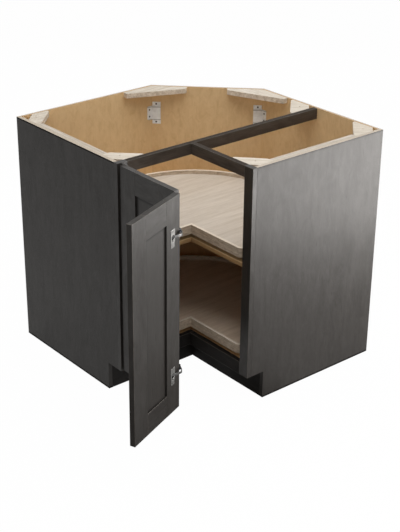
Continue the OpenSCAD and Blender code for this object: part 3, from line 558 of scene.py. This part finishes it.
def addLoop(work, points, place):
    corners = [work.verts.new(place @ Vector(p)) for p in points]
    return corners, [work.edges.new((a, b)) for a, b in zip(corners, corners[1:] + corners[:1])]


def fillLoops(work, loops):
    edges = [edge for _, ring in loops for edge in ring]
    bmesh.ops.triangle_fill(work, edges=edges, use_beauty=True, use_dissolve=True)


def wallBetween(work, lower, upper):
    for i, corner in enumerate(lower):
        j = (i + 1) % len(lower)
        work.faces.new((corner, lower[j], upper[j], upper[i]))


def circle(centre, radius, steps=28):
    turns = [2 * pi * i / steps for i in range(steps)]
    return [(centre[0] + radius * cos(turn), centre[1] + radius * sin(turn)) for turn in turns]


def roundedBox(low, high, radius, steps=5):
    left, right, under, over = low[0] + radius, high[0] - radius, low[1] + radius, high[1] - radius
    points = []
    for cx, cy, start in [(right, over, 0), (left, over, pi / 2), (left, under, pi), (right, under, 1.5 * pi)]:
        turns = [start + pi / 2 * i / steps for i in range(steps + 1)]
        points += [(cx + radius * cos(turn), cy + radius * sin(turn)) for turn in turns]
    return points


def addPlate(work, outline, holes, low, high, place):
    # a flat plate with holes: outlines in (u, z), thickness along w
    sides = []
    for w in (low, high):
        loops = [addLoop(work, [(u, w, z) for u, z in ring], place) for ring in [outline] + holes]
        fillLoops(work, loops)
        sides.append([corners for corners, _ in loops])
    for under, over in zip(*sides):
        wallBetween(work, under, over)


def softPath(points, radius, steps=4, share=0.49):
    # a bent line with rounded corners, each of which takes at most this share of the stretches beside it
    path = [Vector(points[0])]
    for before, corner, after in zip(points, points[1:], points[2:]):
        before, corner, after = Vector(before), Vector(corner), Vector(after)
        a = corner + (before - corner).normalized() * min(radius, (before - corner).length * share)
        b = corner + (after - corner).normalized() * min(radius, (after - corner).length * share)
        for t in [i / steps for i in range(steps + 1)]:
            path.append(a * (1 - t) ** 2 + corner * 2 * t * (1 - t) + b * t ** 2)
    return path + [Vector(points[-1])]


def addStrip(work, path, thick, low, high, place):
    # sheet metal bent along a path in (u, w), standing from low to high in z
    left, right = [], []
    for i, point in enumerate(path):
        ahead = (path[min(i + 1, len(path) - 1)] - path[max(i - 1, 0)]).normalized()
        side = Vector((-ahead.y, ahead.x)) * thick / 2
        left.append(point + side)
        right.append(point - side)
    outline = left + right[::-1]
    rings = [[work.verts.new(place @ Vector((p.x, p.y, level))) for p in outline] for level in (low, high)]
    last = len(outline) - 1
    for ring in rings:
        for i in range(len(path) - 1):
            work.faces.new((ring[i], ring[i + 1], ring[last - i - 1], ring[last - i]))
    wallBetween(work, *rings)


def addTurned(work, profile, place, steps=24):
    # a turned shape round z: the profile is (radius, height) from end to end, and a radius of 0 is a tip
    rings = []
    for radius, height in profile:
        points = circle((0, 0), radius, steps) if radius > samePoint else [(0, 0)]
        rings.append([work.verts.new(place @ Vector((x, y, height))) for x, y in points])
    for a, b in zip(rings, rings[1:]):
        for i in range(steps):
            j = (i + 1) % steps
            if len(a) == 1:
                work.faces.new((a[0], b[j], b[i]))
            elif len(b) == 1:
                work.faces.new((a[i], a[j], b[0]))
            else:
                work.faces.new((a[i], a[j], b[j], b[i]))
    return rings[-1]


def finishPiece(name, work, finishes, body, replaced, edge, steps=2):
    bmesh.ops.recalc_face_normals(work, faces=work.faces)
    mesh = bpy.data.meshes.new(name)
    work.to_mesh(mesh)
    work.free()
    for finish in finishes:
        mesh.materials.append(finish)
    piece = bpy.data.objects.new(name, mesh)
    scene.collection.objects.link(piece)
    softenEdges(piece, edge, steps, len(finishes) - 1 if len(finishes) > 1 else -1)
    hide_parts(*replaced)
    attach(piece, body)


# a cross-slot wood screw: tip and neck are (share of the shank, metres), the dome is shares of the head
screwLook = {"tip": [(0.0, 0.0), (0.35, 0.0003), (0.98, 0.0025)], "neck": (0.98, -0.0002),
             "dome": [(0.97, 0.0), (0.99, 0.18), (0.95, 0.55), (0.84, 0.90)], "flat": 0.97,
             "arm": 0.13, "reach": 0.54, "sink": 0.45, "taper": 0.7, "spin": 0.7,
             "rimShare": 0.98, "tipZone": 0.0005}


def cross(reach, arm):
    return [(reach, arm), (arm, arm), (arm, reach), (-arm, reach), (-arm, arm), (-reach, arm),
            (-reach, -arm), (-arm, -arm), (-arm, -reach), (arm, -reach), (arm, -arm), (reach, -arm)]


def joinedGroups(shape):
    # the corners of each separate solid in a mesh
    met, groups = set(), []
    for first in shape.verts:
        if first in met:
            continue
        met.add(first)
        group = [first]
        for corner in group:
            for other in [edge.other_vert(corner) for edge in corner.link_edges]:
                if other not in met:
                    met.add(other)
                    group.append(other)
        groups.append(np.array([corner.co for corner in group]))
    return groups


def screwPlaces(node):
    # each screw's own frame, read from the solid it stands for: z runs out of its head
    shape = bmesh.new()
    shape.from_mesh(node.data)
    bmesh.ops.remove_doubles(shape, verts=shape.verts, dist=samePoint)
    screws = []
    for points in joinedGroups(shape):
        axis = np.linalg.eigh(np.cov((points - points.mean(0)).T))[1][:, 2]
        along = points @ axis
        line = points - np.outer(along, axis)
        middle = (line.min(0) + line.max(0)) / 2
        radial = np.linalg.norm(line - middle, axis=1)
        if radial[along > along.mean()].max() < radial[along < along.mean()].max():
            axis, along = -axis, -along
        head = float(radial.max())
        seat = float(along[radial > head * screwLook["rimShare"]].min())
        shank = float(radial[along < along.min() + screwLook["tipZone"]].max())
        turn = Vector(axis).to_track_quat("Z", "Y").to_matrix().to_4x4()
        screws.append({"place": Matrix.Translation(Vector(middle) + Vector(axis) * seat) @ turn, "head": head,
                       "shank": shank, "length": seat - float(along.min()), "tall": float(along.max()) - seat})
    shape.free()
    return screws


def addScrew(work, screw, spin):
    place = screw["place"] @ Matrix.Rotation(spin, 4, "Z")
    head, shank, length, tall = screw["head"], screw["shank"], screw["length"], screw["tall"]
    neckShare, neckHeight = screwLook["neck"]
    profile = [(shank * share, rise - length) for share, rise in screwLook["tip"]]
    profile.append((shank * neckShare, neckHeight))
    profile += [(head * share, tall * rise) for share, rise in screwLook["dome"]]
    ring = addTurned(work, profile, place)
    rim = [work.edges.get((a, b)) for a, b in zip(ring, ring[1:] + ring[:1])]
    outline = cross(head * screwLook["reach"], head * screwLook["arm"])
    top = addLoop(work, [(x, y, tall * screwLook["flat"]) for x, y in outline], place)
    fillLoops(work, [(ring, rim), top])
    taper, floorOfSlot = screwLook["taper"], tall - head * screwLook["sink"]
    low = addLoop(work, [(x * taper, y * taper, floorOfSlot) for x, y in outline], place)
    wallBetween(work, low[0], top[0])
    fillLoops(work, [low])


for name, nodeName, body, metal, slotName in [
        ("bracket_cross_screws", "bracket_screws", "carcass", blackScrew, "zinc_steel"),
        ("bearing_cross_screws", "bearing_base_screws", "carcass", zincFinish, "zinc_steel"),
        ("hinge_arm_cross_screws", "hinge_arm_screws", "carcass", nickelFinish, "nickel"),
        ("upper_tray_cross_screws", "upper_tray_screws", "upper_tray", zincFinish, "zinc_steel"),
        ("lower_tray_cross_screws", "lower_tray_screws", "lower_tray", zincFinish, "zinc_steel"),
        ("door_1_cross_screws", "door_1_screws", "door_1", nickelFinish, "nickel"),
        ("door_2_cross_screws", "door_2_screws", "door_2", nickelFinish, "nickel")]:
    work = bmesh.new()
    for i, screw in enumerate(screwPlaces(nodes[nodeName])):
        addScrew(work, screw, screwLook["spin"] * i)
    finishPiece(name, work, [metal], body, [nodeName], softEdge["screw"], steps=1)

# fold hinges, in millimetres: an arm screwed behind door 1, and a cup plate let into door 2 whose strap comes
# round to the same pin
millimetres = Matrix.Diagonal((0.001, 0.001, 0.001, 1.0))
armLook = {"plate": ((850.0, -19.0), (882.0, 19.0)), "corner": 4.0, "thick": 1.4,
           "holes": [(858.0, -14.0), (858.0, 14.0)], "holeRadius": 1.9, "holeSteps": 20,
           "path": [(852, 1.4), (858, 7.4), (878, 7.6), (892, 3.6), (901.4, 1.2), (901.8, -7.0),
                    (899.4, -11.0)],
           "bend": 6.0, "strip": 1.8, "side": [(854, 4.2), (892, 4.6)], "sideWide": 6.4, "sideHalf": 0.6,
           "pin": (897.0, -14.0), "half": 5.0, "knuckle": 4.3, "bore": 2.05, "chamfer": 0.3}
cupLook = {"upper": ((31.0, -14.5), (55.0, 31.0)), "upperThick": 1.6, "lower": ((32.5, -31.0), (52.0, -13.0)),
           "lowerThick": 0.9, "corner": 2.5, "recess": ((42.2, 2.8), 8.9), "eye": ((44.0, -9.6), 2.8),
           "screwAt": (43.0, 25.0), "screwHole": 1.9, "smallSteps": 18,
           "cup": {"centre": (43.0, 0.0), "radius": 11.9, "deep": 11.9, "wall": 1.0, "bend": 0.2,
                   "lip": 0.05, "steps": 40},
           "path": [(43, -7), (39, -1.8), (33, 1.6), (19, 8.2), (9, 12.0), (1.0, 10.4)], "bend": 5.0,
           "strip": 2.0, "bar": (-1.5, 6.4), "yoke": [(6, 12.0), (0, 9.8), (-6, 4.0)], "rise": (-1.5, 10.0),
           "leg": [(-4, 6.0), (-8.5, 1.0), (-12.0, -9.0), (-9.6, -13.6)], "yokeBend": 4.0, "yokeStrip": 1.8,
           "pin": (-7.03, -14.0), "half": 10.0, "gap": 5.4, "knuckle": 4.3, "chamfer": 0.3}
doorOneBack = Matrix(((0, -1, 0, foldStile[0].x), (1, 0, 0, 0), (0, 0, 1, 0), (0, 0, 0, 1)))
doorTwoEdge = Matrix.Translation(doorTwo["foldEdge"]) @ Matrix.Rotation(doorTwo["turn"], 4, "Z")


def knuckleProfile(look, low, high, bore=0.0):
    outer, chamfer = look["knuckle"], look["chamfer"]
    return [(bore, low), (outer - chamfer, low), (outer, low + chamfer), (outer, high - chamfer),
            (outer - chamfer, high), (bore, high)]


def addArm(work, place):
    holes = [circle(hole, armLook["holeRadius"], armLook["holeSteps"]) for hole in armLook["holes"]]
    addPlate(work, roundedBox(*armLook["plate"], armLook["corner"]), holes, 0.0, armLook["thick"], place)
    half, sideHalf = armLook["half"], armLook["sideHalf"]
    addStrip(work, softPath(armLook["path"], armLook["bend"]), armLook["strip"], -half, half, place)
    for z in (-half + sideHalf, half - sideHalf):   # the folded sides of the arm
        side = softPath(armLook["side"], armLook["bend"])
        addStrip(work, side, armLook["sideWide"], z - sideHalf, z + sideHalf, place)
    profile = knuckleProfile(armLook, -half, half, armLook["bore"])
    addTurned(work, profile + profile[:1], place @ Matrix.Translation((*armLook["pin"], 0)))


def addCup(work, place):
    screwU, screwZ = cupLook["screwAt"]
    steps = cupLook["smallSteps"]
    upperHoles = [circle(*cupLook["recess"]), circle(*cupLook["eye"], steps),
                  circle((screwU, screwZ), cupLook["screwHole"], steps)]
    lowerHoles = [circle((screwU, -screwZ), cupLook["screwHole"], steps)]
    upper, lower = [roundedBox(*cupLook[plate], cupLook["corner"]) for plate in ("upper", "lower")]
    addPlate(work, upper, upperHoles, 0.0, cupLook["upperThick"], place)
    addPlate(work, lower, lowerHoles, 0.0, cupLook["lowerThick"], place)

    cup = cupLook["cup"]
    radius, deep, wall, bend = cup["radius"], cup["deep"], cup["wall"], cup["bend"]
    centre = Matrix.Translation((cup["centre"][0], 0, cup["centre"][1]))
    intoDoor = place @ centre @ Matrix.Rotation(pi / 2, 4, "X")
    known = set(work.faces)
    addTurned(work, [(0.0, deep - wall), (radius - wall - bend, deep - wall), (radius - wall, cup["lip"]),
                     (radius, cup["lip"]), (radius, deep - wall - bend), (radius - wall, deep), (0.0, deep)],
              intoDoor, cup["steps"])
    # the cup's inside takes the dark nickel, painted shade
    for face in set(work.faces) - known:
        face.material_index = 1

    known = set(work.faces)
    half, gap = cupLook["half"], cupLook["gap"]
    yoke, leg = [softPath(cupLook[strip], cupLook["yokeBend"]) for strip in ("yoke", "leg")]
    addStrip(work, softPath(cupLook["path"], cupLook["bend"]), cupLook["strip"], *cupLook["bar"], place)
    addStrip(work, yoke, cupLook["yokeStrip"], *cupLook["rise"], place)
    addStrip(work, leg, cupLook["yokeStrip"], gap, half, place)
    for face in set(work.faces) - known:
        face.material_index = 2
    for low, high in [(-half, -gap), (gap, half)]:
        addTurned(work, knuckleProfile(cupLook, low, high), place @ Matrix.Translation((*cupLook["pin"], 0)))


armMetals = [shadedNickel, nickelHighlightEdge]
cupMetals = [nickelFinish, shadedNickel, armNickel, nickelHighlightEdge]
for level in ("upper", "lower"):
    armLow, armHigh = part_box(level + "_fold_arm")
    height = Matrix.Translation((0, 0, (armLow.z + armHigh.z) / 2))
    work = bmesh.new()
    addArm(work, height @ doorOneBack @ millimetres)
    finishPiece(level + "_arm_of_fold_hinge", work, armMetals, "door_1", [level + "_fold_arm"],
                softEdge["steel"])
    work = bmesh.new()
    addCup(work, height @ doorTwoEdge @ millimetres)
    finishPiece(level + "_cup_of_fold_hinge", work, cupMetals, "door_2", [level + "_fold_cup"],
                softEdge["steel"])
print("screws and fold hinges made")

# the floor shows as white paper and takes the cabinet's shadow; before the doors its bounce and mirrored light
# are painted darker, a painted shadow
floorLook = {"reach": 14.0, "drop": 0.0004, "glow": 0.985, "cloud": 0.4,
             "pale": [(0.3, tone(238, 238, 238)), (0.7, tone(242, 242, 242))],
             "bounce": tone(174, 173, 172), "paintedShadowBounce": tone(120, 120, 120),
             "mirrored": 0.31, "paintedShadowMirrored": 0.02,
             "ahead": (1.04, 1.17), "behind": (0.70, 0.85), "beside": (0.34, 0.52)}


def paperFloor(name):
    finish = Finish(name)
    spot = finish.place()
    tint = finish.tones(finish.cloud(spot, floorLook["cloud"]), floorLook["pale"])
    glow = finish.put("Emission", {"Color": white, "Strength": 1.0})
    seen = finish.rays()
    side, forward, _ = finish.axes(spot)
    clear = finish.most(finish.between(forward, *floorLook["ahead"]),
                        finish.between(forward, *floorLook["behind"], 1.0, 0.0),
                        finish.between(side, *floorLook["beside"], 1.0, 0.0))
    bounce = finish.blend(clear, floorLook["paintedShadowBounce"], floorLook["bounce"])
    tint = finish.blend(finish.most(seen["Is Diffuse Ray"], seen["Is Glossy Ray"]), tint, bounce)
    diffuse = finish.put("BsdfDiffuse", {"Color": tint})
    brightness = finish.level(clear, floorLook["paintedShadowMirrored"], floorLook["mirrored"])
    mirrored = finish.sum("MULTIPLY", seen["Is Glossy Ray"], brightness)
    shown = finish.most(seen["Is Camera Ray"], mirrored, seen["Is Transmission Ray"])
    mixed = finish.put("MixShader", {0: finish.sum("MULTIPLY", shown, floorLook["glow"]), 1: diffuse, 2: glow})
    finish.put("OutputMaterial", {"Surface": mixed})
    return finish.made


mesh = bpy.data.meshes.new("studio_floor")
reach, drop = floorLook["reach"], floorLook["drop"]
corners = [(x, y, -drop) for x, y in [(-reach, -reach), (reach, -reach), (reach, reach), (-reach, reach)]]
mesh.from_pydata(corners, [], [(0, 1, 2, 3)])
floor = bpy.data.objects.new("studio_floor", mesh)
scene.collection.objects.link(floor)
mesh.materials.append(paperFloor("pale floor"))

# the room is white to the camera and to mirrors, and lights the cabinet more from above than from below
roomLook = {"low": 0.13, "high": 0.36, "seen": 1.0}
scene.world = bpy.data.worlds.new("studio")
room = Finish("studio", scene.world)
seen = room.rays()
shown = room.most(seen["Is Camera Ray"], seen["Is Glossy Ray"], seen["Is Transmission Ray"])
height = room.axes(room.put("TexCoord", {}, out="Generated"))[2]
ambient = room.between(height, 0.0, 1.0, roomLook["low"], roomLook["high"])
strength = room.level(shown, ambient, roomLook["seen"])
room.put("OutputWorld", {"Surface": room.put("Background", {"Color": white, "Strength": strength})})

warm = (1.0, 0.972, 0.945)
lampLook = {
    "top_softbox": {"place": (0.35, 0.75, 3.2), "target": (0.4, 0.5, 0.5), "size": (3.0, 3.0),
                    "bright": 2.65, "colour": (1, 1, 1)},
    "low_softbox": {"place": (-1.05, 2.06, 0.52), "target": (-0.43, 1.28, 1.52), "size": (2.0, 1.4),
                    "bright": 6.6, "colour": warm},
    "front_softbox": {"place": (2.9, 3.1, 1.9), "target": (0.6, 0.6, 0.3), "size": (2.2, 1.6),
                      "bright": 1.2, "colour": warm},
    "back_softbox": {"place": (-2.3, -2.3, 1.3), "target": (0.3, 0.3, 0.5), "size": (2.4, 1.8),
                     "bright": 1.0, "colour": (1, 1, 1)},
}
for name, look in lampLook.items():
    lamp = bpy.data.lights.new(name, "AREA")
    wide, tall = look["size"]
    lamp.shape, lamp.size, lamp.size_y, lamp.color = "RECTANGLE", wide, tall, look["colour"]
    lamp.energy = look["bright"] * pi * wide * tall
    box = bpy.data.objects.new(name, lamp)
    scene.collection.objects.link(box)
    box.location = look["place"]
    box.rotation_euler = (Vector(look["target"]) - Vector(look["place"])).to_track_quat("-Z", "Y").to_euler()
    box.visible_camera = False

photoView = {"place": (3.0717, 3.5828, 2.2747), "back": (0.56425, 0.70862, 0.42366), "roll": -0.069,
             "sensor": 36.0, "lens": 82.58, "shift": (0.0579, -0.0229)}
lens = bpy.data.cameras.new("photo_view")
lens.sensor_fit, lens.sensor_width, lens.lens = "AUTO", photoView["sensor"], photoView["lens"]
lens.shift_x, lens.shift_y = photoView["shift"]
camera = bpy.data.objects.new("photo_view", lens)
scene.collection.objects.link(camera)
aim = Vector(photoView["back"]).to_track_quat("Z", "Y").to_matrix().to_4x4()
roll = Matrix.Rotation(radians(photoView["roll"]), 4, "Z")
camera.matrix_world = Matrix.Translation(photoView["place"]) @ aim @ roll
scene.camera = camera
print("floor, light and camera in place")
